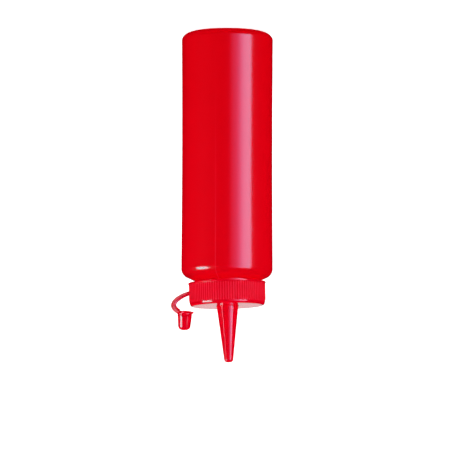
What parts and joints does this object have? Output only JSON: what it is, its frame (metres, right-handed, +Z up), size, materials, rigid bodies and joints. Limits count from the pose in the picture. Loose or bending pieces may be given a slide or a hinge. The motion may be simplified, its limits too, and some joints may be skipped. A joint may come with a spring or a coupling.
{
  "type": "squeeze sauce dispenser bottle",
  "caption": "Round opaque squeeze bottle, shut by a ribbed screw closure with a tapered pouring nozzle and a tip cap on a moulded strap.",
  "frame": {"origin": "centre of the flat base, on the body's axis, on the surface the bottle stands on", "axes": "+Z up along the body's axis towards the nozzle, +X towards the strap and the tip cap, -Y towards the viewer of the picture"},
  "size_m": [0.0778, 0.07, 0.2543],
  "materials": {
    "bottle_plastic": "soft gloss, blow-moulded, opaque red",
    "closure_plastic": "gloss, injection-moulded, opaque red"
  },
  "bodies": {
    "root": {"bottle": "bottle_plastic", "closure": "closure_plastic"}
  },
  "joints": []
}
